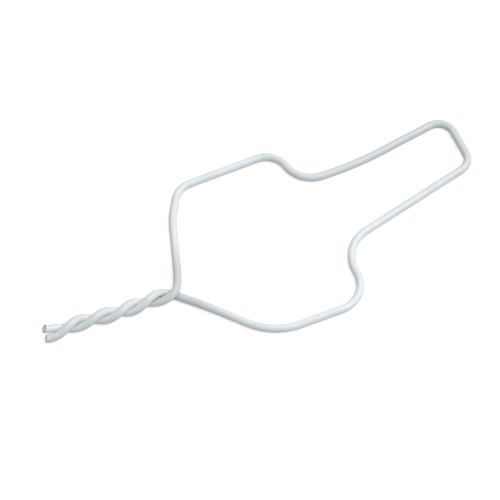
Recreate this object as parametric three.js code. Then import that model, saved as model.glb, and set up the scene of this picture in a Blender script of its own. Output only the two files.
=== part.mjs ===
// Wire wall anchor: one length of plastic-coated steel wire, jig-bent flat into a closed loop (a wide
// six-sided body that narrows to a squared tip), with its two ends twisted together into a tail.
// Millimetres, +Z up. +X runs along the anchor from the tail to the tip, +Y to the side of the leg that
// crosses on top where the twist begins. The anchor lies flat, and the origin is the centre of its
// footprint.
import * as THREE from "three";

// ---- Wire ---------------------------------------------------------------------------------------
const WIRE_DIAMETER = 3.5; // over the coating
const CORE_DIAMETER = 2.5; // bare steel
const COAT_GAP = 0.04; // radial room between the core and the bore of the coating
const COAT_SIDES = 12;
const CORE_SIDES = 8;

// ---- Loop: bend corners seen from above, measured from the mouth of the twist ---------------------
const TOP_LEG_START = [16.0, 26.1]; // the leg on the +Y side lies level from here
const LOW_LEG_START = [12.2, -16.5]; // the leg on the -Y side lies level from here
const BENDS = [
  { name: "bowed leg", corner: [18.9, 31.8], radius: 40 },
  { name: "top heel", corner: [29.1, 43.5], radius: 10 },
  { name: "top shoulder", corner: [73.1, 36.3], radius: 10 },
  { name: "top neck root", corner: [73.6, 17.8], radius: 12.5 },
  { name: "neck bow", corner: [97.8, 12.7], radius: 150 },
  { name: "top tip corner", corner: [143.5, 11.7], radius: 7 },
  { name: "low tip corner", corner: [140.1, -13.2], radius: 6.5 },
  { name: "low neck root", corner: [70.9, -17.4], radius: 15.5 },
  { name: "low shoulder", corner: [68.8, -45.0], radius: 12.5 },
  { name: "low heel", corner: [25.5, -37.1], radius: 26 },
];

// ---- Twisted tail: a left-handed two-strand helix ---------------------------------------------------
const TAIL_HEADING = 167.5; // degrees from +X, the way the tail leaves the mouth
const TAIL_LENGTH = 56.4; // mouth to the longer cut end
const SHORTER_END = 0.3; // the second strand is cut this much shorter
const LAY_RADIUS = 1.9; // from the tail's axis to the centre of each strand
const LAY_PITCH = 23; // length of one full turn
const MOUTH_PHASE = 108; // degrees that the top strand has turned at the mouth
const RUN_OUT = 9.5; // last stretch of the tail, where the twist dies away
const END_SPREAD = 0.25; // extra radius that the cut ends spring out to

// ---- Mouth: how far each leg keeps its heading as it eases from the loop into the twist -----------------------------------------
const TOP_EASE = { atTwist: 4.2, atLeg: 15 };
const LOW_EASE = { atTwist: 0.7, atLeg: 12 };

// ---- Fineness ---------------------------------------------------------------------------------------
const CHORD_ERROR = 0.04; // greatest distance from an arc to its chords
const TWIST_STEPS = 18; // stations in one turn of the twist
const EASE_STEPS = 13; // stations along each easing curve

const UP = new THREE.Vector3(0, 0, 1);
const wireRadius = WIRE_DIAMETER / 2;
const coreRadius = CORE_DIAMETER / 2;
const loopHeight = wireRadius;
const tailHeight = wireRadius + LAY_RADIUS;

// ---- Route of the wire ------------------------------------------------------------------------------

// Stations of an arc that rounds one corner between two straight stretches.
function roundCorner(before, corner, after, radius) {
  const toBefore = before.clone().sub(corner).normalize();
  const toAfter = after.clone().sub(corner).normalize();
  const turn = Math.PI - toBefore.angleTo(toAfter);
  const start = toBefore.clone().multiplyScalar(radius * Math.tan(turn / 2)).add(corner);
  const inward = toBefore.clone().add(toAfter).normalize();
  const centre = inward.multiplyScalar(radius / Math.cos(turn / 2)).add(corner);
  const sense = Math.sign(toAfter.clone().cross(toBefore).z);
  const spoke = start.sub(centre);
  const steps = Math.ceil(turn / (2 * Math.acos(1 - CHORD_ERROR / radius)));
  return Array.from({ length: steps + 1 }, (_, i) =>
    spoke.clone().applyAxisAngle(UP, (sense * turn * i) / steps).add(centre),
  );
}

// The flat loop, from the top leg round the tip to the low leg.
function loopStations() {
  const level = ([x, y]) => new THREE.Vector3(x, y, loopHeight);
  const corners = [TOP_LEG_START, ...BENDS.map((bend) => bend.corner), LOW_LEG_START].map(level);
  const arcs = BENDS.flatMap((bend, i) =>
    roundCorner(corners[i], corners[i + 1], corners[i + 2], bend.radius),
  );
  return [corners[0], ...arcs, corners.at(-1)];
}

const tailAxis = new THREE.Vector3(1, 0, 0).applyAxisAngle(UP, THREE.MathUtils.degToRad(TAIL_HEADING));
const tailSide = new THREE.Vector3().crossVectors(tailAxis, UP); // points to the top leg's side
const mouth = new THREE.Vector3(0, 0, tailHeight);

// Angle that the twist has turned at a distance along the tail: even, then dying away to nothing.
function twistPhase(along) {
  const even = Math.min(along, TAIL_LENGTH - RUN_OUT);
  const late = Math.max(0, along - even) / RUN_OUT;
  const turned = even + RUN_OUT * (late - late ** 3 / 3);
  return THREE.MathUtils.degToRad(MOUTH_PHASE) + (2 * Math.PI * turned) / LAY_PITCH;
}

// Centre of one strand at a distance along the tail; the strands lie half a turn apart.
function strandPoint(along, halfTurn) {
  const late = Math.max(0, along - (TAIL_LENGTH - RUN_OUT)) / RUN_OUT;
  const radius = LAY_RADIUS + END_SPREAD * late ** 2;
  const phase = twistPhase(along) + halfTurn;
  return mouth
    .clone()
    .addScaledVector(tailAxis, along)
    .addScaledVector(tailSide, radius * Math.cos(phase))
    .addScaledVector(UP, radius * Math.sin(phase));
}

// Stations of one strand, from the mouth to its cut end.
function strandStations(halfTurn, length) {
  const steps = Math.round((length / LAY_PITCH) * TWIST_STEPS);
  return Array.from({ length: steps + 1 }, (_, i) => strandPoint((length * i) / steps, halfTurn));
}

// Stations of the curve that eases a level leg into its strand at the mouth.
function easeStations(legStart, legNext, halfTurn, ease) {
  const entry = strandPoint(0, halfTurn);
  const back = entry.clone().sub(strandPoint(0.01, halfTurn)).normalize();
  const forward = legStart.clone().sub(legNext).normalize();
  const nearTwist = entry.clone().addScaledVector(back, ease.atTwist);
  const nearLeg = legStart.clone().addScaledVector(forward, ease.atLeg);
  const curve = new THREE.CubicBezierCurve3(entry, nearTwist, nearLeg, legStart);
  return curve.getPoints(EASE_STEPS).slice(1, -1);
}

// The whole wire, from the cut end of the top strand round the loop to the other cut end.
function wireStations() {
  const loop = loopStations();
  const top = strandStations(0, TAIL_LENGTH).reverse();
  const low = strandStations(Math.PI, TAIL_LENGTH - SHORTER_END);
  const topEase = easeStations(loop[0], loop[1], 0, TOP_EASE);
  const lowEase = easeStations(loop.at(-1), loop.at(-2), Math.PI, LOW_EASE).reverse();
  return [...top, ...topEase, ...loop, ...lowEase, ...low];
}

// A path through the stations, with each cross-section square to the wire and kept level with +Z,
// so that the underside of the flat loop is truly flat.
class WireRoute extends THREE.Curve {
  constructor(stations) {
    super();
    this.stations = stations;
  }

  getPoint(t, target = new THREE.Vector3()) {
    const last = this.stations.length - 1;
    const place = t * last;
    const before = Math.min(Math.floor(place + 1e-9), last - 1);
    return target.lerpVectors(this.stations[before], this.stations[before + 1], place - before);
  }

  getPointAt(u, target) {
    return this.getPoint(u, target);
  }

  // Direction that halves the angle between the two stretches which meet at a station.
  headingAt(i) {
    const here = this.stations[i];
    const arriving = here.clone().sub(this.stations[Math.max(i - 1, 0)]).normalize();
    const leaving = this.stations[Math.min(i + 1, this.stations.length - 1)].clone().sub(here).normalize();
    return arriving.add(leaving).normalize();
  }

  computeFrenetFrames() {
    const tangents = this.stations.map((_, i) => this.headingAt(i));
    const normals = tangents.map((heading) => new THREE.Vector3().crossVectors(UP, heading).normalize());
    const binormals = tangents.map((heading, i) => new THREE.Vector3().crossVectors(heading, normals[i]));
    return { tangents, normals, binormals };
  }
}

// ---- Sections and solids ------------------------------------------------------------------------------

// Points of a regular section whose flats are at the given radius, with one flat facing straight down.
function section(sides, flatRadius) {
  const cornerRadius = flatRadius / Math.cos(Math.PI / sides);
  return Array.from({ length: sides }, (_, i) => {
    const angle = ((i + 0.5) * 2 * Math.PI) / sides;
    return new THREE.Vector2(cornerRadius * Math.cos(angle), cornerRadius * Math.sin(angle));
  });
}

const route = new WireRoute(wireStations());
const sweep = { steps: route.stations.length - 1, bevelEnabled: false, extrudePath: route };

function steelCore() {
  return new THREE.ExtrudeGeometry(new THREE.Shape(section(CORE_SIDES, coreRadius)), sweep);
}

function whiteCoating() {
  const wall = new THREE.Shape(section(COAT_SIDES, wireRadius));
  wall.holes.push(new THREE.Path(section(CORE_SIDES, coreRadius + COAT_GAP)));
  return new THREE.ExtrudeGeometry(wall, sweep);
}

// ---- Materials and assembly ---------------------------------------------------------------------------

const galvanisedSteel = new THREE.MeshStandardMaterial({ color: 0x9a9ea2, roughness: 0.42, metalness: 1 });
const whitePolymer = new THREE.MeshStandardMaterial({ color: 0xe6eaec, roughness: 0.45, metalness: 0 });

function piece(name, geometry, material) {
  const mesh = new THREE.Mesh(geometry, material);
  mesh.name = name;
  return mesh;
}

const coating = piece("white_coating", whiteCoating(), whitePolymer);
const core = piece("steel_core", steelCore(), galvanisedSteel);

const footprint = new THREE.Box3().setFromObject(coating);
const centre = footprint.getCenter(new THREE.Vector3());
for (const mesh of [core, coating]) {
  mesh.geometry.translate(-centre.x, -centre.y, -footprint.min.z);
}

const anchor = new THREE.Group();
anchor.add(core, coating);

export default anchor;
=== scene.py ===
"""Looks of the wire wall anchor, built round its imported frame.

The anchor is one length of plastic-coated steel wire, bent flat into a loop with its two ends twisted
together. Routes and sizes are in millimetres until a mesh is made; meshes, lights and camera are in metres.
"""

import logging
import math
from dataclasses import dataclass
from enum import Enum

import bpy
import numpy as np
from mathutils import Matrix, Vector


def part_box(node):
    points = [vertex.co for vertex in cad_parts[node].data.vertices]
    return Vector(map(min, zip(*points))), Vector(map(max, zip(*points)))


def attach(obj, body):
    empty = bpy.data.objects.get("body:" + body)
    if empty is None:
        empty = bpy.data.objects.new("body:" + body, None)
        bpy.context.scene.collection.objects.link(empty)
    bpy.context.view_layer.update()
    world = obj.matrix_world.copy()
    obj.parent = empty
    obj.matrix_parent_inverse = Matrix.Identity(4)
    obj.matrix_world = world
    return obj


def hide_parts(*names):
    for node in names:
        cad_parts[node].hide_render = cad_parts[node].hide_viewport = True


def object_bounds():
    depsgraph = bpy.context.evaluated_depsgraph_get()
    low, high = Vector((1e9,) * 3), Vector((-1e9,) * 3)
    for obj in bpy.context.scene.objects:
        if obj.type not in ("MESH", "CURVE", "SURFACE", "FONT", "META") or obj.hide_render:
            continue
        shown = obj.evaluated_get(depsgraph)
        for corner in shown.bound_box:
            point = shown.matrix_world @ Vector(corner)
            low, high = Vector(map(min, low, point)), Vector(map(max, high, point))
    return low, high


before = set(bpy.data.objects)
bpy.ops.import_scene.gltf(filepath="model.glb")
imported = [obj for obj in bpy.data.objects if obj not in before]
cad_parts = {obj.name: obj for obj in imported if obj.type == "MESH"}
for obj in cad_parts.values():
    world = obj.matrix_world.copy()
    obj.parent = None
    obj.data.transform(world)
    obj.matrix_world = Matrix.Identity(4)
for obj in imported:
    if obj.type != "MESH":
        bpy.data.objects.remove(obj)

CAD_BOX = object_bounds()
MM = 0.001
BODY = "root"
UPWARD = np.array([0.0, 0.0, 1.0])
FAR_BELOW = (0.0, 0.0, -50.0)
WHITE = (1.0, 1.0, 1.0, 1.0)
log = logging.getLogger("wall_anchor")

Range = tuple[float, float]
Waves = tuple[tuple[float, float], ...]
Colour = tuple[float, float, float, float]
Output = bpy.types.NodeSocket


# ---- Small helpers ------------------------------------------------------------------------------


def unit(vectors: np.ndarray) -> np.ndarray:
    """Scale each vector to length one."""
    return vectors / np.linalg.norm(vectors, axis=-1, keepdims=True)


def smooth_ramp(low: float, high: float, value: np.ndarray) -> np.ndarray:
    """Rise from 0 at low to 1 at high along the curve 3t^2 - 2t^3.

    Args:
        low: value where the ramp leaves 0.
        high: value where the ramp reaches 1; it may be below low for a falling ramp.
        value: where to read the ramp.

    Returns:
        The ramp at each value.
    """
    t = np.clip((value - low) / (high - low), 0.0, 1.0)
    return t * t * (3.0 - 2.0 * t)


def wander(along: np.ndarray, waves: Waves) -> np.ndarray:
    """Sum of sines with unlike wavelengths, which reads as hand-made unevenness.

    Args:
        along: distance along the wire.
        waves: (wavelength, phase) of each sine.

    Returns:
        The mean of sin(2 pi along / wavelength + phase), between -1 and 1.
    """
    sines = [np.sin(2.0 * np.pi * along / length + phase) for length, phase in waves]
    return np.mean(sines, axis=0)


def soft_floor(value: np.ndarray, least: np.ndarray, softness: float) -> np.ndarray:
    """Greater of value and least, with the corner between them rounded off.

    Uses least + softness * log(1 + exp((value - least) / softness)).

    Args:
        value: values to hold up.
        least: lower limit of each value.
        softness: how far from the limit the rounding reaches.

    Returns:
        The limited values.
    """
    return least + softness * np.logaddexp(0.0, (value - least) / softness)


# ---- Route of the wire --------------------------------------------------------------------------


@dataclass(frozen=True)
class Bend:
    """A corner of the flat loop, seen from above and measured from the mouth of the twist."""

    corner: tuple[float, float]
    radius: float


@dataclass(frozen=True)
class Ease:
    """How far a leg keeps its heading at each end of the curve that leads it into the twist."""

    at_twist: float
    at_leg: float


@dataclass
class Centreline:
    """Stations along the middle of the wire, with the frame and bending at each of them."""

    points: np.ndarray
    along: np.ndarray
    heading: np.ndarray
    side: np.ndarray
    up: np.ndarray
    bend_side: np.ndarray
    bend_up: np.ndarray
    partner: np.ndarray

    @property
    def length(self) -> float:
        """Whole length of the wire."""
        return float(self.along[-1])

    def at(self, along: np.ndarray) -> "Centreline":
        """Read the centreline at other distances.

        Args:
            along: distances from the first cut end, rising.

        Returns:
            A centreline with a station at each distance, by straight interpolation.
        """

        def read(values: np.ndarray) -> np.ndarray:
            """Interpolate one or three numbers per station."""
            if values.ndim == 1:
                return np.interp(along, self.along, values)
            return np.stack([np.interp(along, self.along, column) for column in values.T], axis=1)

        return Centreline(
            points=read(self.points),
            along=along,
            heading=unit(read(self.heading)),
            side=unit(read(self.side)),
            up=unit(read(self.up)),
            bend_side=read(self.bend_side),
            bend_up=read(self.bend_up),
            partner=read(self.partner),
        )


@dataclass
class WireRoute:
    """Route of the wire: tail strand, eased leg, flat loop, eased leg and the other tail strand."""

    wire_radius: float = 1.75
    top_leg_start: tuple[float, float] = (16.0, 26.1)
    low_leg_start: tuple[float, float] = (12.2, -16.5)
    bends: tuple[Bend, ...] = (
        Bend((18.9, 31.8), 40.0),  # bowed leg
        Bend((29.1, 43.5), 10.0),  # top heel
        Bend((73.1, 36.3), 10.0),  # top shoulder
        Bend((73.6, 17.8), 12.5),  # top neck root
        Bend((97.8, 12.7), 150.0),  # neck bow
        Bend((143.5, 11.7), 7.0),  # top tip corner
        Bend((140.1, -13.2), 6.5),  # low tip corner
        Bend((70.9, -17.4), 15.5),  # low neck root
        Bend((68.8, -45.0), 12.5),  # low shoulder
        Bend((25.5, -37.1), 26.0),  # low heel
    )
    tail_heading: float = 167.5
    tail_length: float = 56.0
    shorter_end: float = 0.3
    lay_radius: float = 1.78
    lay_pitch: float = 23.0
    mouth_phase: float = 108.0
    run_out: float = 9.5
    end_spread: float = 0.25
    bow_offset: float = 0.28
    bow_height: float = 0.38
    bow_length: float = 34.0
    bow_peak: float = 38.0
    leg_fade: float = 16.0
    end_swerve: float = 0.8
    swerve_start: float = 51.0
    swerve_reach: float = 5.4
    end_lift: float = 0.45
    lift_start: float = 53.0
    lift_reach: float = 3.1
    top_ease: Ease = Ease(3.5, 15.0)
    low_ease: Ease = Ease(0.7, 12.0)
    ease_probe: float = 0.01
    ease_steps: int = 600
    fine_step: float = 0.05
    spring_back: float = 0.7
    drift: float = 0.07
    drift_rise: Range = (8.0, 30.0)
    drift_waves: Waves = ((61.0, 0.4), (37.0, 2.1), (23.0, 4.4))

    def corner_arc(self, before: np.ndarray, bend: Bend, after: np.ndarray) -> np.ndarray:
        """Arc that rounds one corner, tangent to the straight stretches on both sides of it.

        The arc's centre lies on the line that halves the corner, at radius / cos(turn / 2) from it.

        Args:
            before: corner that comes before this one, seen from above.
            bend: the corner and its radius.
            after: corner that comes after it.

        Returns:
            Points of the arc, seen from above.
        """
        corner = np.array(bend.corner)
        to_before = unit(before - corner)
        to_after = unit(after - corner)
        turn = np.pi - np.arccos(np.clip(to_before @ to_after, -1.0, 1.0))
        centre = corner + unit(to_before + to_after) * bend.radius / np.cos(turn / 2.0)
        spoke = corner + to_before * bend.radius * np.tan(turn / 2.0) - centre
        sense = np.sign(to_after[0] * to_before[1] - to_after[1] * to_before[0])
        count = max(2, int(np.ceil(turn * bend.radius / self.fine_step)))
        angle = sense * np.linspace(0.0, turn, count + 1)
        turned_x = spoke[0] * np.cos(angle) - spoke[1] * np.sin(angle)
        turned_y = spoke[0] * np.sin(angle) + spoke[1] * np.cos(angle)
        return centre + np.stack([turned_x, turned_y], axis=1)

    def loop(self) -> np.ndarray:
        """Flat loop from the top leg round the tip to the low leg, lying on the surface."""
        corners = [np.array(self.top_leg_start)]
        corners += [np.array(bend.corner) for bend in self.bends]
        corners += [np.array(self.low_leg_start)]
        arcs = [self.corner_arc(corners[i], bend, corners[i + 2]) for i, bend in enumerate(self.bends)]
        plan = np.concatenate([corners[:1], *arcs, corners[-1:]])
        return np.column_stack([plan, np.full(len(plan), self.wire_radius)])

    def strand(self, along: np.ndarray, half_turn: float) -> np.ndarray:
        """Centre of one tail strand: a left-handed helix whose twist dies away at the cut ends.

        The phase is 2 pi * distance / pitch up to the run-out, where its rate falls as 1 - t^2 and the
        radius grows by spread * t^2.

        Args:
            along: distances along the tail's axis from the mouth.
            half_turn: 0 for the strand that crosses on top, pi for the other one.

        Returns:
            One point per distance.
        """
        heading = math.radians(self.tail_heading)
        axis = np.array([math.cos(heading), math.sin(heading), 0.0])
        across = np.array([axis[1], -axis[0], 0.0])
        even = np.minimum(along, self.tail_length - self.run_out)
        late = np.clip((along - even) / self.run_out, 0.0, 1.0)
        turned = even + self.run_out * (late - late**3 / 3.0)
        phase = math.radians(self.mouth_phase) + 2.0 * np.pi * turned / self.lay_pitch + half_turn
        radius = self.lay_radius + self.end_spread * late**2
        height = self.wire_radius + self.lay_radius
        return (
            UPWARD * height
            + along[:, None] * axis
            + (radius * np.cos(phase))[:, None] * across
            + (radius * np.sin(phase))[:, None] * UPWARD
        )

    def eased_leg(self, leg: np.ndarray, half_turn: float, ease: Ease) -> np.ndarray:
        """Cubic curve from the mouth of the twist to the start of a level leg.

        Args:
            leg: first two points of the leg, starting at its end near the mouth.
            half_turn: 0 or pi, the strand that the leg runs into.
            ease: how far the curve keeps each end's heading.

        Returns:
            Points from the mouth to the leg.
        """
        entry, inside = self.strand(np.array([0.0, self.ease_probe]), half_turn)
        near_twist = entry + unit(entry - inside) * ease.at_twist
        near_leg = leg[0] + unit(leg[0] - leg[1]) * ease.at_leg
        t = np.linspace(0.0, 1.0, self.ease_steps)[:, None]
        return (
            (1 - t) ** 3 * entry
            + 3 * (1 - t) ** 2 * t * near_twist
            + 3 * (1 - t) * t**2 * near_leg
            + t**3 * leg[0]
        )

    def raw_path(self) -> np.ndarray:
        """Whole wire from the cut end of the top strand to the cut end of the low strand."""
        loop = self.loop()
        steps = int(self.tail_length / self.fine_step)
        top = self.strand(np.linspace(0.0, self.tail_length, steps), 0.0)
        low = self.strand(np.linspace(0.0, self.tail_length - self.shorter_end, steps), np.pi)
        top_ease = self.eased_leg(loop[:2], 0.0, self.top_ease)
        low_ease = self.eased_leg(loop[:-3:-1], np.pi, self.low_ease)
        return np.concatenate([top[::-1], top_ease[1:-1], loop, low_ease[-2:0:-1], low])

    def even_path(self) -> np.ndarray:
        """Whole wire at an even fine step, with each change of bending spread over a short stretch.

        A Gaussian mean along the wire does the spreading; past each cut end the wire is carried on as
        its own half-turn about that end, which keeps the ends in place.
        """
        path = resampled(self.raw_path(), self.fine_step)
        reach = int(3.0 * self.spring_back / self.fine_step)
        offsets = np.arange(-reach, reach + 1) * self.fine_step
        weights = np.exp(-0.5 * (offsets / self.spring_back) ** 2)
        weights /= weights.sum()
        before = 2.0 * path[0] - path[reach:0:-1]
        after = 2.0 * path[-1] - path[-2 : -reach - 2 : -1]
        padded = np.concatenate([before, path, after])
        columns = [np.convolve(column, weights, mode="valid") for column in padded.T]
        return np.stack(columns, axis=1)

    def hand_twisting(self, along: np.ndarray) -> np.ndarray:
        """Shift of each station because the twist was made by hand and isn't even.

        With t the distance into the tail from the mouth, the twist's axis bows sideways by
        offset + height * cosine of (t - peak) over its length, and the last few millimetres swerve and
        lift by a square law. All of it fades away along the legs.

        Args:
            along: distance of each station from the first cut end.

        Returns:
            One shift per station.
        """
        heading = math.radians(self.tail_heading)
        across = np.array([math.sin(heading), -math.cos(heading), 0.0])
        on_top = along < along[-1] / 2.0
        inward = self.tail_length - np.where(on_top, along, along[-1] - along)
        wave = np.cos(2.0 * np.pi * (inward - self.bow_peak) / self.bow_length)
        swerving = np.clip((inward - self.swerve_start) / self.swerve_reach, 0.0, None)
        swerve = self.end_swerve * swerving**2
        lifting = np.clip((inward - self.lift_start) / self.lift_reach, 0.0, None)
        lift = np.where(on_top, 0.0, self.end_lift) * lifting**2
        sideways = self.bow_offset + self.bow_height * wave
        sideways = sideways * smooth_ramp(-self.leg_fade, 0.0, inward)
        return (sideways + swerve)[:, None] * across + np.outer(lift, UPWARD)

    def centreline(self, low: Vector, high: Vector) -> Centreline:
        """Finished centreline, placed over the CAD wire by its squared tip and its two long sides.

        Args:
            low: low corner of the CAD coating's box, in metres.
            high: high corner of that box.

        Returns:
            Fine stations with their frames, bending and the nearest point of the other strand.
        """
        path = self.even_path()
        least, most = path.min(axis=0), path.max(axis=0)
        path[:, 0] += high.x / MM - self.wire_radius - most[0]
        path[:, 1] += (low.y + high.y) / 2.0 / MM - (least[1] + most[1]) / 2.0
        along = distances(path)
        rise = [self.tail_length + far for far in self.drift_rise]
        in_loop = smooth_ramp(*rise, along) * smooth_ramp(*rise, along[-1] - along)
        side, _ = level_frame(np.gradient(path, axis=0))
        drift = self.drift * in_loop * wander(along, self.drift_waves)
        path = path + drift[:, None] * side + self.hand_twisting(along)
        along = distances(path)
        heading = unit(np.gradient(path, along, axis=0))
        side, up = level_frame(heading)
        curving = np.gradient(heading, along, axis=0)
        return Centreline(
            points=path,
            along=along,
            heading=heading,
            side=side,
            up=up,
            bend_side=np.sum(curving * side, axis=1),
            bend_up=np.sum(curving * up, axis=1),
            partner=nearest_other(path, along),
        )


def distances(path: np.ndarray) -> np.ndarray:
    """Distance of each point from the first one, measured along the path."""
    steps = np.linalg.norm(np.diff(path, axis=0), axis=1)
    return np.concatenate([[0.0], np.cumsum(steps)])


def resampled(path: np.ndarray, step: float) -> np.ndarray:
    """Path read again at an even step along its length.

    Args:
        path: points of a path.
        step: wanted distance between points.

    Returns:
        The evenly spaced points.
    """
    along = distances(path)
    even = np.linspace(0.0, along[-1], int(round(along[-1] / step)) + 1)
    return np.stack([np.interp(even, along, column) for column in path.T], axis=1)


def level_frame(heading: np.ndarray) -> tuple[np.ndarray, np.ndarray]:
    """Frames that stay level: side is up-vector x heading, up is heading x side.

    Args:
        heading: direction of the wire at each station, any length.

    Returns:
        Unit side vectors and unit up vectors, both square to the wire.
    """
    heading = unit(heading)
    side = unit(np.cross(UPWARD, heading))
    return side, np.cross(heading, side)


def nearest_other(
    path: np.ndarray, along: np.ndarray, stride: int = 8, own: float = 14.0, limit: float = 9.0
) -> np.ndarray:
    """Offset from each station to the closest point of the wire that isn't its own neighbour.

    Stations one stride apart are compared with each other, and the offsets between are interpolated.
    A far offset becomes a longer one straight down, because interpolation would take it through
    nothing where the closest point changes sides.

    Args:
        path: stations of the wire.
        along: distance of each station.
        stride: how many stations apart the compared ones are.
        own: length of wire to both sides that counts as a station's own neighbour.
        limit: distance beyond which an offset is far.

    Returns:
        One offset vector per station; it is long where the wire runs alone.
    """
    coarse = slice(None, None, stride)
    points, place = path[coarse], along[coarse]
    gap = np.linalg.norm(points[:, None] - points[None], axis=2)
    gap[np.abs(place[:, None] - place[None]) < own] = np.inf
    offset = points[np.argmin(gap, axis=1)] - points
    offset[np.linalg.norm(offset, axis=1) > limit] = FAR_BELOW
    return np.stack([np.interp(along, place, column) for column in offset.T], axis=1)


# ---- Surfaces -----------------------------------------------------------------------------------


@dataclass
class Skin:
    """A surface on a grid of rows and columns, closed round its columns, with values per vertex."""

    points: np.ndarray
    straight: np.ndarray
    values: dict[str, np.ndarray]
    closed_rows: bool

    def quads(self) -> np.ndarray:
        """Vertex numbers of each face, in the order that makes it point outwards."""
        rows, columns = self.points.shape[:2]
        number = np.arange(rows * columns).reshape(rows, columns)
        if self.closed_rows:
            number = np.vstack([number, number[:1]])
        right = np.roll(number, -1, axis=1)
        corners = (number[:-1], right[:-1], right[1:], number[1:])
        return np.stack(corners, axis=-1).reshape(-1, 4)

    def caps(self) -> list[np.ndarray]:
        """One many-sided ring of vertex numbers for each open end."""
        if self.closed_rows:
            return []
        rows, columns = self.points.shape[:2]
        first = np.arange(columns)
        return [first[::-1], first + (rows - 1) * columns]

    def to_object(self, name: str) -> bpy.types.Object:
        """Make the mesh object at the origin, in metres.

        An open end is closed by a fan of triangles round its middle point.

        Args:
            name: name of the piece.

        Returns:
            The new object, linked to the scene.
        """
        flat = self.points.reshape(-1, 3)
        straight = self.straight.reshape(-1, 3)
        values = {key: value.reshape(-1) for key, value in self.values.items()}
        quads = self.quads()
        triangles = np.zeros((0, 3), int)
        for ring in self.caps():
            hub = len(flat)
            flat = np.vstack([flat, flat[ring].mean(axis=0)])
            straight = np.vstack([straight, straight[ring].mean(axis=0)])
            values = {key: np.append(value, value[ring].mean()) for key, value in values.items()}
            fan = np.stack([ring, np.roll(ring, -1), np.full(len(ring), hub)], axis=1)
            triangles = np.vstack([triangles, fan])
        mesh = bpy.data.meshes.new(name)
        mesh.vertices.add(len(flat))
        mesh.vertices.foreach_set("co", (flat * MM).astype(np.float32).ravel())
        loops = np.concatenate([quads.ravel(), triangles.ravel()])
        sizes = np.concatenate([np.full(len(quads), 4), np.full(len(triangles), 3)])
        starts = np.concatenate([[0], np.cumsum(sizes)[:-1]])
        mesh.loops.add(len(loops))
        mesh.loops.foreach_set("vertex_index", loops.astype(np.int32))
        mesh.polygons.add(len(sizes))
        mesh.polygons.foreach_set("loop_start", starts.astype(np.int32))
        mesh.polygons.foreach_set("loop_total", sizes.astype(np.int32))
        mesh.polygons.foreach_set("use_smooth", np.ones(len(sizes), bool))
        unrolled = mesh.attributes.new("straight", "FLOAT_VECTOR", "POINT")
        unrolled.data.foreach_set("vector", (straight * MM).astype(np.float32).ravel())
        for key, value in values.items():
            attribute = mesh.attributes.new(key, "FLOAT", "POINT")
            attribute.data.foreach_set("value", value.astype(np.float32))
        mesh.update(calc_edges=True)
        mesh.validate()
        piece = bpy.data.objects.new(name, mesh)
        bpy.context.scene.collection.objects.link(piece)
        return piece


@dataclass(frozen=True)
class EndProfile:
    """Section through a cut end: distance from the wire's middle and reach past the cut, row by row."""

    radius: np.ndarray
    reach: np.ndarray


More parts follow.
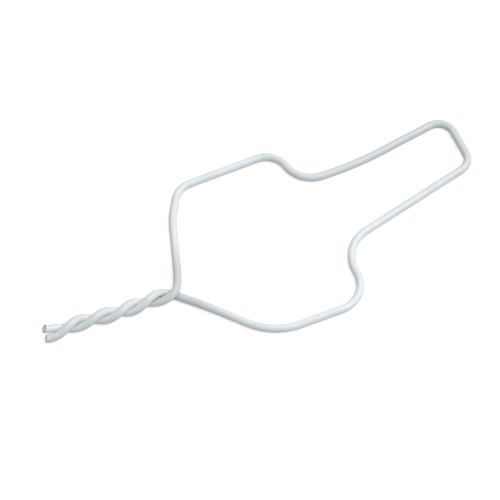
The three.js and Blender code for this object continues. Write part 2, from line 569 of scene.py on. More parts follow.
@dataclass
class CoatedWire:
    """The bent and twisted wire: its steel core and the white coating round it."""

    route: WireRoute
    core_radius: float = 1.25
    coat_gap: float = 0.02
    columns: int = 44
    close_step: float = 0.25
    far_step: float = 0.8
    bore_step: float = 1.1
    busy_bends: Range = (0.004, 0.05)
    busy_company: Range = (14.0, 7.0)
    busy_tips: Range = (14.0, 6.0)
    ovality: float = 0.8
    oval_limit: float = 0.06
    ripple_length: float = 1.3
    ripple_depth: float = 0.011
    ripple_swing: float = 1.7
    ripple_swing_length: float = 3.1
    ripple_bends: Range = (0.1, 0.3)
    unevenness: float = 0.005
    uneven_skew: float = 2.0
    uneven_waves: Waves = ((19.0, 0.3), (11.0, 1.9), (6.7, 5.1))
    bite_depth: float = 0.022
    bite_spacing: float = 1.45
    bite_turn: float = 1.1
    bite_between: float = 0.35
    bite_rise: Range = (2.2, 3.2)
    bite_fall: Range = (10.5, 8.5)
    pinch_depth: float = 0.06
    pinch_reach: float = 0.8
    core_proud: float = 0.22
    lip_round: float = 0.13
    lip_rows: int = 6
    rim_reach: tuple[float, ...] = (0.14, 0.13, 0.1, 0.02)
    core_round: float = 0.07
    nose_rows: int = 5
    face_rows: int = 12
    face_middle: float = 0.06
    cut_slope: float = 0.24
    slope_fade: Range = (1.02, 0.9)
    core_slope: float = 0.4
    cut_turns: tuple[float, float] = (0.7, 1.35)
    cut_tilts: tuple[float, float] = (0.3, 0.22)
    tilt_reach: float = 5.0
    # Where the coating is darker: bell curves round the neck and legs, and painted shade on the outer side
    # of each tail strand.
    neck_dark_middle: float = 225.0
    neck_dark_reach: float = 62.0
    leg_middle: float = 13.0
    leg_reach: float = 13.0
    outer_shade: float = 0.42
    outer_shade_fade: Range = (2.0, -4.0)
    outer_shade_side: Range = (-0.1, 0.9)
    mouth_fade: Range = (14.0, 4.0)
    crevice_reach: Range = (1.25, 0.05)
    contact_play: float = 0.004
    contact_softness: float = 0.03

    def stations(self, line: Centreline) -> np.ndarray:
        """Distances of the coating's rows: close together at bends and in the twist, else far apart.

        The number of rows per millimetre rises with bending and where the other strand is near; the
        rows stand at equal steps of its running total.
        """
        bending = np.hypot(line.bend_side, line.bend_up)
        bent = smooth_ramp(*self.busy_bends, bending)
        company = smooth_ramp(*self.busy_company, np.linalg.norm(line.partner, axis=1))
        tips = np.minimum(line.along, line.length - line.along)
        busy = np.maximum.reduce([bent, company, smooth_ramp(*self.busy_tips, tips)])
        density = 1.0 / (self.far_step + (self.close_step - self.far_step) * busy)
        rows = (density[1:] + density[:-1]) / 2 * np.diff(line.along)
        total = np.concatenate([[0.0], np.cumsum(rows)])
        wanted = np.linspace(0.0, total[-1], int(total[-1]) + 1)
        return np.interp(wanted, total, line.along)

    def angles(self) -> np.ndarray:
        """Angle of each column round the wire, from the side towards the top."""
        return np.arange(self.columns) * 2.0 * np.pi / self.columns

    def squeeze(self, line: Centreline, angle: np.ndarray) -> np.ndarray:
        """Share of the radius that bending and handling take away or add, row by column.

        A bent wire goes oval: the change is the square of (bending x radius x cosine from the inside)
        less its mean. The coating also ripples on the inside of tight bends, its thickness wanders a
        little, and gripping jaws leave a row of shallow bites near the cut ends.
        """
        inside = -self.strain(line, angle)
        tightness = self.route.wire_radius * np.hypot(line.bend_side, line.bend_up)[:, None]
        oval = -self.ovality * (inside**2 - tightness**2 / 2.0)
        along = line.along[:, None]
        swing = self.ripple_swing * np.sin(along / self.ripple_swing_length)
        ripple_place = 2.0 * np.pi * along / self.ripple_length + swing
        ripple = self.ripple_depth * smooth_ramp(*self.ripple_bends, inside) * np.sin(ripple_place)
        uneven = self.unevenness * wander(along + self.uneven_skew * np.cos(angle), self.uneven_waves)
        oval = np.clip(oval, -self.oval_limit, self.oval_limit)
        return oval + ripple + uneven - self.bites(line, angle)

    def bites(self, line: Centreline, angle: np.ndarray) -> np.ndarray:
        """Depth, as a share of the radius, of the bites that twisting jaws leave near the cut ends.

        Each bite is a narrow bump of cosine along the wire, kept to two opposite sides of it.
        """
        tips = np.minimum(line.along, line.length - line.along)[:, None]
        gripped = smooth_ramp(*self.bite_rise, tips) * smooth_ramp(*self.bite_fall, tips)
        tooth = np.clip(np.cos(2.0 * np.pi * tips / self.bite_spacing), 0.0, 1.0) ** 2
        sides = np.clip(np.cos(2.0 * (angle - self.bite_turn)), 0.0, 1.0) ** 2
        depth = self.bite_between + (1.0 - self.bite_between) * tooth
        return self.bite_depth * gripped * sides * depth

    def pinch(self, line: Centreline, angle: np.ndarray) -> np.ndarray:
        """Share of the radius by which the cutter's jaws flatten each end.

        It falls off as exp(-distance / reach) from the cut and goes round as a double cosine.
        """
        first, last = (np.cos(2.0 * (angle - turn)) for turn in self.cut_turns)
        first = np.exp(-line.along / self.pinch_reach)[:, None] * first
        last = np.exp((line.along - line.length) / self.pinch_reach)[:, None] * last
        return self.pinch_depth * (first + last)

    def press(self, offset: np.ndarray, line: Centreline) -> np.ndarray:
        """Flatten the wire where the two strands press on each other.

        The part of an offset that points at the other strand is held under half the distance between
        the two centres, with a softly rounded limit.

        Args:
            offset: offsets of the surface from the centreline, rows x columns x 3.
            line: the stations of the rows.

        Returns:
            The pressed offsets.
        """
        reach = np.linalg.norm(line.partner, axis=1, keepdims=True)
        towards = (line.partner / reach)[:, None, :]
        outward = -np.sum(offset * towards, axis=2)
        held = soft_floor(outward, -(reach / 2.0 - self.contact_play), self.contact_softness)
        return offset - (held - outward)[..., None] * towards

    def slanted(self, offset: np.ndarray, line: Centreline) -> np.ndarray:
        """Slide the surface along the wire near each end, so that both cuts lean back at the top.

        The slide is tilt x height above the wire's middle, and it fades out over a few millimetres.

        Args:
            offset: offsets of the surface from the centreline, rows x columns x 3.
            line: the stations of the rows.

        Returns:
            The slanted offsets.
        """
        height = np.sum(offset * line.up[:, None, :], axis=2)
        first = self.cut_tilts[0] * smooth_ramp(self.tilt_reach, 0.0, line.along)
        last = self.cut_tilts[1] * smooth_ramp(self.tilt_reach, 0.0, line.length - line.along)
        return offset + (height * (first - last)[:, None])[..., None] * line.heading[:, None, :]

    def crevice(self, offset: np.ndarray, line: Centreline) -> np.ndarray:
        """How deep each vertex sits in the crevice between the strands, from 0 outside to 1."""
        clear = np.linalg.norm(offset - line.partner[:, None, :], axis=2) - self.route.wire_radius
        return smooth_ramp(*self.crevice_reach, clear)

    def wall(self, line: Centreline, radius: float, crafted: bool) -> tuple[np.ndarray, np.ndarray]:
        """Tube round the centreline: centre + r (side cos a + up sin a).

        Args:
            line: stations of the rows.
            radius: plain radius of the tube.
            crafted: whether bending, handling and pressing shape it.

        Returns:
            The points and their offsets from the centreline, rows x columns x 3.
        """
        angle = self.angles()
        share = self.squeeze(line, angle) if crafted else np.zeros((len(line.along), self.columns))
        size = radius * (1.0 + share - self.pinch(line, angle))
        offset = size[..., None] * (
            np.cos(angle)[None, :, None] * line.side[:, None, :]
            + np.sin(angle)[None, :, None] * line.up[:, None, :]
        )
        if crafted:
            offset = self.press(offset, line)
        offset = self.slanted(offset, line)
        return line.points[:, None, :] + offset, offset

    def end_rows(
        self, line: Centreline, edge: np.ndarray, profile: EndProfile, last: bool, slope: float
    ) -> np.ndarray:
        """Rows that close a cut end, from the edge of a wall inwards.

        Each row keeps the outline of the edge, scaled by the profile's radius, and reaches past the
        cut by the profile's reach less slope x distance from the ridge that the cutter leaves.

        Args:
            line: the fine centreline.
            edge: offsets of the wall's last row, columns x 3.
            profile: radius (as a share of the edge's) and reach of each row.
            last: True for the far end of the wire, False for its first end.
            slope: fall of the cut face to both sides of its ridge.

        Returns:
            Points of the rows, rows x columns x 3.
        """
        index = -1 if last else 0
        outward = line.heading[-1] if last else -line.heading[0]
        turn = self.cut_turns[1 if last else 0]
        ridge_side = np.cos(turn) * line.side[index] + np.sin(turn) * line.up[index]
        spread = profile.radius[:, None, None] * edge[None]
        fall = slope * np.abs(np.sum(spread * ridge_side, axis=2))
        share = smooth_ramp(*self.slope_fade, profile.radius)[:, None]
        reach = profile.reach[:, None] - fall * share
        return line.points[index] + spread + reach[..., None] * outward

    def straightened(self, rows: np.ndarray, radius: np.ndarray) -> np.ndarray:
        """Where each vertex would lie if the wire were pulled straight along Z.

        Args:
            rows: distance of each row along the wire.
            radius: distance of each row's vertices from the wire's middle.

        Returns:
            Points of the straight wire, rows x columns x 3.
        """
        angle = self.angles()
        shape = (len(rows), self.columns)
        across = radius[:, None] * np.cos(angle)
        above = radius[:, None] * np.sin(angle)
        return np.stack([across, above, np.broadcast_to(rows[:, None], shape)], axis=-1)

    def lip(self) -> EndProfile:
        """Section of the coating's cut end, from its rounded outer edge to the rim of the bore."""
        radius = self.route.wire_radius
        bore = self.core_radius + self.coat_gap
        turn = np.linspace(0.0, np.pi / 2.0, self.lip_rows)[1:]
        outer = radius - self.lip_round * (1.0 - np.cos(turn))
        outer_reach = self.lip_round * np.sin(turn)
        inner = np.linspace(outer[-1], bore, len(self.rim_reach) + 1)[1:]
        return EndProfile(
            radius=np.concatenate([outer, inner]) / radius,
            reach=np.concatenate([outer_reach, self.rim_reach]),
        )

    def nose(self) -> EndProfile:
        """Section of the core's cut end, from its worn rim to its middle."""
        turn = np.linspace(0.0, np.pi / 2.0, self.nose_rows)[1:]
        rim = 1.0 - self.core_round / self.core_radius * (1.0 - np.cos(turn))
        rim_reach = self.core_proud + self.core_round * (np.sin(turn) - 1.0)
        face = rim[-1] * np.linspace(1.0, self.face_middle, self.face_rows)[1:]
        return EndProfile(
            radius=np.concatenate([rim, face]),
            reach=np.concatenate([rim_reach, np.full(len(face), self.core_proud)]),
        )

    def coating(self, line: Centreline) -> Skin:
        """White coating: outer wall, far lip, bore and near lip as one closed grid."""
        outer = line.at(self.stations(line))
        bore = line.at(np.linspace(line.length, 0.0, int(line.length / self.bore_step))[::-1])
        outer_points, outer_offset = self.wall(outer, self.route.wire_radius, crafted=True)
        bore_points, _ = self.wall(bore, self.core_radius + self.coat_gap, crafted=False)
        lip = self.lip()
        far = self.end_rows(line, outer_offset[-1], lip, True, self.cut_slope)
        near = self.end_rows(line, outer_offset[0], lip, False, self.cut_slope)[::-1]
        points = np.concatenate([outer_points, far, bore_points[::-1], near])
        at_cut = np.zeros(len(lip.radius))
        rows = np.concatenate([outer.along, at_cut + line.length, bore.along[::-1], at_cut])
        radius = np.concatenate([
            np.full(len(outer.along), self.route.wire_radius),
            lip.radius * self.route.wire_radius,
            np.full(len(bore.along), self.core_radius),
            lip.radius[::-1] * self.route.wire_radius,
        ])
        rest = len(points) - len(outer.along)
        pad = ((0, rest), (0, 0))
        angle = self.angles()
        cut_edge = self.cut_edge(len(points), len(outer.along), len(far))
        values = {
            "crevice": np.pad(self.crevice(outer_offset, outer), pad),
            "bitten": np.pad(self.bites(outer, angle) / self.bite_depth, pad),
            "strain": np.pad(self.strain(outer, angle), pad),
            "mouth": np.pad(self.near_mouth(outer), pad),
            # Darker bands along the neck and legs, and painted shade on the outer sides of the tail
            # strands.
            "shade_and_darkening": np.pad(self.shade_and_darkening(outer_offset, outer), pad, mode="edge"),
            "cut_edge": np.repeat(cut_edge[:, None], self.columns, axis=1),
        }
        return Skin(points, self.straightened(rows, radius), values, closed_rows=True)

    def shade_and_darkening(self, offset: np.ndarray, line: Centreline) -> np.ndarray:
        """Darkening along the wire, from 0 to 1.

        Bell curves round the neck's far half and just past the mouth, and painted shade on the side of
        each tail strand that faces away from the other strand, which evens out the tail's lighting.

        Args:
            offset: offsets of the surface from the centreline, rows x columns x 3.
            line: the stations of the rows.

        Returns:
            The darkening of each vertex.
        """
        legs = np.minimum(line.along, line.length - line.along) - self.route.tail_length
        neck_dark = np.exp(-(((line.along - self.neck_dark_middle) / self.neck_dark_reach) ** 2))
        leg_dark = np.exp(-(((legs - self.leg_middle) / self.leg_reach) ** 2))
        away = -np.sum(unit(offset) * unit(line.partner)[:, None, :], axis=2)
        # Painted shade: the side of each tail strand that faces away from the other strand is darkened.
        gripped = smooth_ramp(*self.outer_shade_fade, legs)[:, None] * smooth_ramp(*self.outer_shade_side, away)
        return np.maximum(np.maximum(neck_dark, leg_dark)[:, None], self.outer_shade * gripped)

    @staticmethod
    def cut_edge(rows: int, walls: int, lips: int) -> np.ndarray:
        """1 on the rows of the two cut lips and 0 on every other row of the coating."""
        edge = np.zeros(rows)
        edge[walls + 1 : walls + lips] = 1.0
        edge[-lips:-1] = 1.0
        return edge

    def strain(self, line: Centreline, angle: np.ndarray) -> np.ndarray:
        """Bending strain of the coating: above 0 where it is stretched, below 0 where it is crushed."""
        return -self.route.wire_radius * (
            line.bend_side[:, None] * np.cos(angle) + line.bend_up[:, None] * np.sin(angle)
        )

    def near_mouth(self, line: Centreline) -> np.ndarray:
        """1 at the mouth of the twist on either strand, falling to 0 some way from it."""
        from_mouth = np.minimum(
            np.abs(line.along - self.route.tail_length),
            np.abs(line.length - line.along - self.route.tail_length),
        )
        near = smooth_ramp(*self.mouth_fade, from_mouth)
        return np.repeat(near[:, None], self.columns, axis=1)

    def core(self, line: Centreline) -> Skin:
        """Steel core: near cut face, wall and far cut face, with a fan closing each face's middle."""
        wall = line.at(np.linspace(0.0, line.length, int(line.length / self.bore_step)))
        wall_points, offset = self.wall(wall, self.core_radius, crafted=False)
        nose = self.nose()
        far = self.end_rows(line, offset[-1], nose, True, self.core_slope)
        near = self.end_rows(line, offset[0], nose, False, self.core_slope)[::-1]
        points = np.concatenate([near, wall_points, far])
        near_rows = -nose.reach[::-1]
        rows = np.concatenate([near_rows, wall.along, line.length + nose.reach])
        radius = np.concatenate([nose.radius[::-1], np.ones(len(wall.along)), nose.radius])
        radius = self.core_radius * radius
        ends = np.ones(len(nose.radius))
        face = np.concatenate([ends, np.zeros(len(wall.along)), ends])
        values = {"cut_face": np.repeat(face[:, None], self.columns, axis=1)}
        return Skin(points, self.straightened(rows, radius), values, closed_rows=False)


# ---- Shader effects -----------------------------------------------------------------------------


class Socket(Enum):
    """Kinds of socket that the shared effects use."""

    NUMBER = "NodeSocketFloat"
    VECTOR = "NodeSocketVector"


@dataclass
class NodeSheet:
    """A node tree with short ways to add and join its nodes."""

    tree: bpy.types.NodeTree

    def add(self, kind: str, inputs: dict | None = None, **settings: object) -> bpy.types.Node:
        """Add a node.

        Args:
            kind: Blender's name of the node type.
            inputs: value, or output socket to join, for each input by name or number.
            settings: properties of the node itself.

        Returns:
            The new node.
        """
        node = self.tree.nodes.new(kind)
        for key, value in settings.items():
            setattr(node, key, value)
        for key, value in (inputs or {}).items():
            if isinstance(value, Output):
                self.tree.links.new(value, node.inputs[key])
            else:
                node.inputs[key].default_value = value
        return node

    def maths(self, operation: str, first: object, second: object = 0.0) -> Output:
        """Result of one sum on one or two numbers."""
        return self.add("ShaderNodeMath", {0: first, 1: second}, operation=operation).outputs[0]

    def plus(self, first: object, second: object, share: object) -> Output:
        """First number plus a share of the second one."""
        return self.maths("ADD", first, self.maths("MULTIPLY", second, share))

    def remap(
        self, value: object, low: float, high: float, to_low: float = 0.0, to_high: float = 1.0
    ) -> Output:
        """Smoothly map the range low..high to to_low..to_high."""
        inputs = {"Value": value, "From Min": low, "From Max": high, "To Min": to_low, "To Max": to_high}
        return self.add("ShaderNodeMapRange", inputs, interpolation_type="SMOOTHSTEP").outputs["Result"]

    def mix(self, share: object, first: object, second: object) -> Output:
        """Mix of two colours, by share of the second."""
        inputs = {0: share, 6: first, 7: second}
        return self.add("ShaderNodeMix", inputs, data_type="RGBA").outputs[2]

    def noise(self, place: Output, scale: object, detail: float, roughness: float = 0.5) -> Output:
        """Grey noise at a place, with about `scale` lumps per metre."""
        inputs = {"Vector": place, "Scale": scale, "Detail": detail, "Roughness": roughness}
        return self.add("ShaderNodeTexNoise", inputs, noise_dimensions="3D").outputs["Fac"]

    def stretched(self, place: object, scale: tuple[float, float, float]) -> Output:
        """Place scaled along each axis, which draws a pattern out."""
        return self.add("ShaderNodeMapping", {"Vector": place, "Scale": scale}).outputs["Vector"]

    def bump(
        self,
        height: Output,
        distance: float,
        strength: float,
        under: Output | None = None,
        invert: bool = False,
    ) -> Output:
        """Normal of the surface raised by a height, on top of the normal under it."""
        inputs = {"Height": height, "Strength": strength, "Distance": distance}
        if under is not None:
            inputs["Normal"] = under
        return self.add("ShaderNodeBump", inputs, invert=invert).outputs["Normal"]

    def group(self, tree: bpy.types.NodeTree, inputs: dict[str, object]) -> Output:
        """First output of a shared group with these inputs."""
        return self.add("ShaderNodeGroup", inputs, node_tree=tree).outputs[0]

    def join(self, source: Output, node: bpy.types.Node, key: str) -> None:
        """Link an output to a node's input."""
        self.tree.links.new(source, node.inputs[key])

    def attribute(self, name: str, vector: bool = False) -> Output:
        """Value, or vector, that the mesh holds at each vertex."""
        node = self.add("ShaderNodeAttribute", attribute_name=name)
        return node.outputs["Vector" if vector else "Fac"]


class Effects:
    """Shader node groups that more than one finish uses, each made once."""

    def __init__(self) -> None:
        """Build every group."""
        self.drawn_lines = self.make_drawn_lines()
        self.mottle = self.make_mottle()
        self.scuffs = self.make_scuffs()

    @staticmethod
    def new_group(
        name: str, inputs: dict[str, tuple[Socket, object]], outputs: dict[str, Socket]
    ) -> tuple[NodeSheet, bpy.types.Node, bpy.types.Node]:
        """Start a node group.

        Args:
            name: name of the group.
            inputs: kind and standard value of each input.
            outputs: kind of each output.

        Returns:
            The group's sheet, its input node and its output node.
        """
        tree = bpy.data.node_groups.new(name, "ShaderNodeTree")
        for key, (kind, value) in inputs.items():
            socket = tree.interface.new_socket(name=key, in_out="INPUT", socket_type=kind.value)
            if value is not None:
                socket.default_value = value
        for key, kind in outputs.items():
            tree.interface.new_socket(name=key, in_out="OUTPUT", socket_type=kind.value)
        sheet = NodeSheet(tree)
        return sheet, sheet.add("NodeGroupInput"), sheet.add("NodeGroupOutput")

    def make_drawn_lines(self) -> bpy.types.NodeTree:
        """Fine lines that a die leaves along a drawn or extruded wire, as a height from 0 to 1.

        Noise on the straightened wire, finely broken round it and drawn out along it.
        """
        sheet, given, result = self.new_group(
            "drawn_lines",
            {"Place": (Socket.VECTOR, None), "Fineness": (Socket.NUMBER, 1.0)},
            {"Height": Socket.NUMBER},
        )
        place = given.outputs["Place"]
        broad = sheet.noise(sheet.stretched(place, (1.0, 1.0, 0.03)), scale=2600.0, detail=2.0)
        fine = sheet.noise(sheet.stretched(place, (1.0, 1.0, 0.012)), scale=7200.0, detail=1.0)
        total = sheet.plus(broad, fine, given.outputs["Fineness"])
        sheet.join(sheet.maths("MULTIPLY", total, 0.5), result, "Height")
        return sheet.tree

    def make_mottle(self) -> bpy.types.NodeTree:
        """Slow unevenness of a surface's tone, from -1 to 1, in two sizes of cloud."""
        sheet, given, result = self.new_group(
            "mottle",
            {"Place": (Socket.VECTOR, None), "Scale": (Socket.NUMBER, 120.0)},
            {"Tone": Socket.NUMBER},
        )
        place, scale = given.outputs["Place"], given.outputs["Scale"]
        cloud = sheet.noise(place, scale, detail=3.0)
        speck = sheet.noise(place, sheet.maths("MULTIPLY", scale, 6.3), detail=2.0)
        both = sheet.plus(sheet.maths("MULTIPLY", cloud, 1.4), speck, share=0.6)
        sheet.join(sheet.maths("SUBTRACT", both, 1.0), result, "Tone")
        return sheet.tree

    def make_scuffs(self) -> bpy.types.NodeTree:
        """Marks of handling: a mask of short rubbed patches, gathered where Exposure is high."""
        sheet, given, result = self.new_group(
            "scuffs",
            {"Place": (Socket.VECTOR, None), "Exposure": (Socket.NUMBER, 0.0)},
            {"Mask": Socket.NUMBER},
        )
        place = given.outputs["Place"]
        drawn_out = sheet.stretched(place, (1.0, 0.6, 0.35))
        patches = sheet.noise(place, scale=330.0, detail=4.0, roughness=0.62)
        strokes = sheet.noise(drawn_out, scale=2400.0, detail=2.0, roughness=0.6)
        raised = sheet.plus(patches, given.outputs["Exposure"], share=0.14)
        rubbed = sheet.remap(raised, 0.6, 0.74)
        broken = sheet.remap(strokes, 0.42, 0.62)
        sheet.join(sheet.maths("MULTIPLY", rubbed, broken), result, "Mask")
        return sheet.tree


# ---- Finishes -----------------------------------------------------------------------------------


def new_material(name: str) -> tuple[bpy.types.Material, NodeSheet, bpy.types.Node]:
    """Start a node material.

    Args:
        name: name of the material.

    Returns:
        The material, its sheet and its Principled shader.
    """
    material = bpy.data.materials.new(name)
    material.use_nodes = True
    sheet = NodeSheet(material.node_tree)
    shader = next(node for node in sheet.tree.nodes if node.type == "BSDF_PRINCIPLED")
    return material, sheet, shader


@dataclass(frozen=True)
class WhitePolymer:
    """Satin white polymer coating, with die lines, handling marks, a brown tint in the crevices, darker
    bands, and painted shade on the outer sides of the tail strands.
    """

    tone: Colour = (0.79, 0.80, 0.82, 1.0)
    shade: Colour = (0.73, 0.74, 0.76, 1.0)
    # Darker grey for the neck and leg bands, and for painted shade on the outer sides of the tail strands.
    darkening_and_shade_grey: Colour = (0.565, 0.58, 0.585, 1.0)
    # Darker grey for the coating's cut lips.
    cut_lip_grey: Colour = (0.66, 0.67, 0.685, 1.0)
    rubbed: Colour = (0.52, 0.54, 0.55, 1.0)
    # Brown tint for the crevices between the strands.
    crevice_brown: Colour = (0.62, 0.44, 0.27, 1.0)
    crushed: Colour = (0.60, 0.62, 0.63, 1.0)
    roughness: float = 0.4
    ior: float = 1.5
    cloud_scale: float = 95.0
    crevice_tint_scale: float = 420.0
    peel_scale: float = 900.0
    peel_depth: float = 0.00007
    line_depth: float = 0.00005
    scuff_depth: float = 0.00003

    def make(self, effects: Effects) -> bpy.types.Material:
        """Build the material.

        Args:
            effects: the shared shader groups.

        Returns:
            The finished material.
        """
        material, sheet, shader = new_material("white_polymer")
        place = sheet.attribute("straight", vector=True)
        strain = sheet.attribute("strain")
        mouth = sheet.attribute("mouth")
        tone = sheet.group(effects.mottle, {"Place": place, "Scale": self.cloud_scale})
        strained = sheet.maths("ABSOLUTE", strain)
        exposure = sheet.plus(sheet.attribute("bitten"), strained, share=1.6)
        scuffs = sheet.group(effects.scuffs, {"Place": place, "Exposure": exposure})
        # Brown tint, darker than the coating, in the crevices between the strands, strongest near the
        # mouth.
        lumpy = sheet.noise(place, self.crevice_tint_scale, detail=3.0, roughness=0.6)
        patchy = sheet.remap(lumpy, 0.35, 0.62, to_low=0.5)
        gathered = sheet.plus(sheet.attribute("crevice"), mouth, share=0.45)
        held = sheet.remap(gathered, 0.45, 0.9)
        reach = sheet.remap(mouth, 0.0, 0.6, to_low=0.03)
        crevice_tint = sheet.maths("MULTIPLY", sheet.maths("MULTIPLY", held, patchy), reach)
        clouds = sheet.remap(tone, -0.45, 0.45, to_low=1.0, to_high=0.0)
        colour = sheet.mix(clouds, self.tone, self.shade)
        layers = (
            (sheet.maths("MULTIPLY", scuffs, 0.55), self.rubbed),
            (sheet.remap(strain, -0.12, -0.3, to_high=0.5), self.crushed),
            # Darker bands, and painted shade on the outer sides of the tail strands.
            (sheet.maths("MULTIPLY", sheet.attribute("shade_and_darkening"), 0.8), self.darkening_and_shade_grey),
            (crevice_tint, self.crevice_brown),
            # Darker grey on the cut lips of the coating.
            (sheet.maths("MULTIPLY", sheet.attribute("cut_edge"), 0.75), self.cut_lip_grey),
        )
        for share, layer in layers:
            colour = sheet.mix(share, colour, layer)
        sheet.join(colour, shader, "Base Color")
        gloss = self.roughness
        for mask, rise in ((tone, 0.07), (scuffs, 0.18), (crevice_tint, 0.25)):
            gloss = sheet.plus(gloss, mask, rise)
        sheet.join(gloss, shader, "Roughness")
        lines = sheet.group(effects.drawn_lines, {"Place": place, "Fineness": 0.7})
        peel = sheet.noise(place, self.peel_scale, detail=2.0)
        lumps = sheet.bump(peel, self.peel_depth, strength=0.45)
        drawn = sheet.bump(lines, self.line_depth, strength=0.45, under=lumps)
        worn = sheet.bump(scuffs, self.scuff_depth, strength=0.5, under=drawn, invert=True)
        sheet.join(worn, shader, "Normal")
        shader.inputs["IOR"].default_value = self.ior
        return material


@dataclass(frozen=True)
class GalvanisedSteel:
    """Drawn galvanised wire: dull zinc along the wire, brighter torn steel on the cut faces."""

    zinc: Colour = (0.47, 0.48, 0.49, 1.0)
    dull: Colour = (0.36, 0.37, 0.38, 1.0)
    torn: Colour = (0.90, 0.90, 0.89, 1.0)
    rust: Colour = (0.28, 0.17, 0.10, 1.0)
    roughness: float = 0.4
    torn_metallic: float = 0.45
    cut_ramp: Range = (0.3, 0.7)
    cloud_scale: float = 700.0
    rust_scale: float = 1500.0
    tear_scale: float = 5200.0
    tear_depth: float = 0.00005
    line_depth: float = 0.00002

    def make(self, effects: Effects) -> bpy.types.Material:
        """Build the material.

        Args:
            effects: the shared shader groups.

        Returns:
            The finished material.
        """
        material, sheet, shader = new_material("galvanised_steel")
        place = sheet.attribute("straight", vector=True)
        cut = sheet.attribute("cut_face")
        tone = sheet.group(effects.mottle, {"Place": place, "Scale": self.cloud_scale})
        spangle = sheet.mix(sheet.remap(tone, -0.4, 0.4), self.zinc, self.dull)
        bare = sheet.mix(sheet.remap(cut, *self.cut_ramp), spangle, self.torn)
        flecks = sheet.noise(place, self.rust_scale, detail=3.0, roughness=0.6)
        bloom = sheet.remap(flecks, 0.58, 0.72, to_high=0.35)
        sheet.join(sheet.mix(bloom, bare, self.rust), shader, "Base Color")
        metallic = sheet.remap(cut, *self.cut_ramp, to_low=1.0, to_high=self.torn_metallic)
        sheet.join(metallic, shader, "Metallic")
        gloss = sheet.plus(sheet.plus(self.roughness, tone, share=0.12), bloom, share=0.6)
        sheet.join(gloss, shader, "Roughness")
        drawn_out = sheet.stretched(place, (0.25, 1.0, 1.0))
        tear = sheet.noise(drawn_out, self.tear_scale, detail=2.0, roughness=0.6)
        torn = sheet.bump(sheet.maths("MULTIPLY", tear, cut), self.tear_depth, strength=0.6)
        lines = sheet.group(effects.drawn_lines, {"Place": place, "Fineness": 1.0})
        drawn = sheet.bump(lines, self.line_depth, strength=0.5, under=torn)
        sheet.join(drawn, shader, "Normal")
        return material


@dataclass(frozen=True)
class StudioPaper:
    """Seamless white paper on a light table."""

    tone: Colour = (0.66, 0.66, 0.66, 1.0)
    glow: float = 0.62
    roughness: float = 0.9
    specular: float = 0.1

    def make(self) -> bpy.types.Material:
        """Build the material: matt paper whose glow is seen but lights nothing."""
        material, sheet, shader = new_material("studio_paper")
        shader.inputs["Base Color"].default_value = self.tone
        shader.inputs["Roughness"].default_value = self.roughness
        shader.inputs["Specular IOR Level"].default_value = self.specular
        shader.inputs["Emission Color"].default_value = WHITE
        seen = sheet.add("ShaderNodeLightPath").outputs["Is Camera Ray"]
        sheet.join(sheet.maths("MULTIPLY", seen, self.glow), shader, "Emission Strength")
        return material


# ---- Studio -------------------------------------------------------------------------------------


@dataclass(frozen=True)
class SoftLight:
    """A square soft box that faces the anchor."""

    name: str
    azimuth: float
    elevation: float
    distance: float
    size: float
    watts: float
    tint: tuple[float, float, float] = (1.0, 1.0, 1.0)

    def make(self, target: Vector) -> None:
        """Place the light.

        Args:
            target: point that it faces, in metres.
        """
        lamp = bpy.data.lights.new(self.name, "AREA")
        lamp.shape = "SQUARE"
        lamp.size = self.size
        lamp.energy = self.watts
        lamp.color = self.tint
        light = bpy.data.objects.new(self.name, lamp)
        outward = direction(self.azimuth, self.elevation)
        light.location = target + outward * self.distance
        light.rotation_euler = (-outward).to_track_quat("-Z", "Y").to_euler()
        light.visible_camera = False
        bpy.context.scene.collection.objects.link(light)


def direction(azimuth: float, elevation: float) -> Vector:
    """Unit vector towards a viewpoint: azimuth 0 stands on the -Y side and 90 on the +X side."""
    turn, rise = math.radians(azimuth), math.radians(elevation)
    return Vector((math.sin(turn) * math.cos(rise), -math.cos(turn) * math.cos(rise), math.sin(rise)))


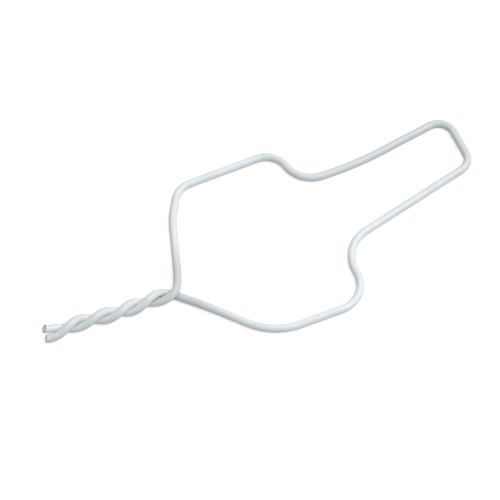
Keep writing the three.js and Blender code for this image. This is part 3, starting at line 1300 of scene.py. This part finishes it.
@dataclass
class Studio:
    """Pale floor, soft light and the camera."""

    aim: tuple[float, float, float] = (-5.31, 2.51, 0.0)
    azimuth: float = -32.65
    elevation: float = 60.0
    distance: float = 1400.0
    view_width: float = 208.5
    sensor: float = 36.0
    clip: Range = (0.05, 50.0)
    floor_size: float = 8.0
    floor_lines: int = 9
    floor_drop: float = 0.07
    ambient: float = 0.455
    lights: tuple[SoftLight, ...] = (
        SoftLight("top_box", 66.0, 62.0, distance=1.5, size=0.9, watts=16.4, tint=(0.90, 0.975, 1.0)),
        SoftLight("back_box", 160.0, 30.0, distance=1.6, size=0.9, watts=2.6, tint=(0.90, 0.96, 1.0)),
    )

    def make_camera(self) -> None:
        """Camera that looks at the anchor from above its tail's near side, through a long lens."""
        data = bpy.data.cameras.new("camera")
        data.sensor_width = self.sensor
        data.lens = self.sensor * self.distance / self.view_width
        data.clip_start, data.clip_end = self.clip
        camera = bpy.data.objects.new("camera", data)
        outward = direction(self.azimuth, self.elevation)
        camera.location = Vector(self.aim) * MM + outward * self.distance * MM
        camera.rotation_euler = (-outward).to_track_quat("-Z", "Y").to_euler()
        bpy.context.scene.collection.objects.link(camera)
        bpy.context.scene.camera = camera

    def make_floor(self, level: float) -> None:
        """Large sheet of paper just under the anchor, worked out as a grid of two parameters.

        Args:
            level: height of the surface that the anchor lies on, in metres.
        """
        lines = self.floor_lines
        across = np.linspace(-0.5, 0.5, lines) * self.floor_size
        east, north = np.meshgrid(across, across, indexing="ij")
        height = np.full_like(east, level - self.floor_drop * MM)
        points = np.stack([east, north, height], axis=-1).reshape(-1, 3)
        number = np.arange(lines * lines).reshape(lines, lines)
        corners = (number[:-1, :-1], number[1:, :-1], number[1:, 1:], number[:-1, 1:])
        faces = np.stack(corners, axis=-1).reshape(-1, 4)
        mesh = bpy.data.meshes.new("studio_floor")
        mesh.from_pydata(points.tolist(), [], faces.tolist())
        mesh.materials.append(StudioPaper().make())
        floor = bpy.data.objects.new("studio_floor", mesh)
        bpy.context.scene.collection.objects.link(floor)

    def make_world(self) -> None:
        """Even white surroundings."""
        world = bpy.data.worlds.new("studio_world")
        world.use_nodes = True
        background = world.node_tree.nodes["Background"]
        background.inputs["Color"].default_value = WHITE
        background.inputs["Strength"].default_value = self.ambient
        bpy.context.scene.world = world

    def make(self, level: float) -> None:
        """Build the whole studio.

        Args:
            level: height of the surface that the anchor lies on, in metres.
        """
        self.make_world()
        self.make_floor(level)
        for light in self.lights:
            light.make(Vector(self.aim) * MM)
        self.make_camera()
        bpy.context.scene.view_settings.view_transform = "Standard"


# ---- Assembly -----------------------------------------------------------------------------------


@dataclass
class WallAnchor:
    """The whole anchor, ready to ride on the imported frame."""

    wire: CoatedWire

    @staticmethod
    def add_piece(skin: Skin, name: str, node: str, slot: str, material: bpy.types.Material) -> None:
        """Turn a surface into a piece that stands for one CAD node.

        Args:
            skin: the piece's surface.
            name: name of the piece.
            node: CAD node that it replaces.
            slot: material slot of the record; not used.
            material: its finish.
        """
        piece = skin.to_object(name)
        piece.data.materials.append(material)
        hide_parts(node)
        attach(piece, BODY)
        log.info("%s: %d faces", name, len(piece.data.polygons))

    def make(self) -> None:
        """Build both pieces with their finishes."""
        low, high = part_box("white_coating")
        line = self.wire.route.centreline(low, high)
        log.info("wire length %.1f mm", line.length)
        effects = Effects()
        steel = GalvanisedSteel().make(effects)
        polymer = WhitePolymer().make(effects)
        self.add_piece(self.wire.core(line), "core_wire", "steel_core", "galvanised_steel", steel)
        self.add_piece(
            self.wire.coating(line), "coating_sleeve", "white_coating", "white_polymer", polymer
        )


def main() -> None:
    """Build the anchor and its studio."""
    logging.basicConfig(level=logging.INFO, format="%(name)s: %(message)s")
    WallAnchor(CoatedWire(WireRoute())).make()
    Studio().make(CAD_BOX[0].z)


if __name__ == "__main__":
    main()
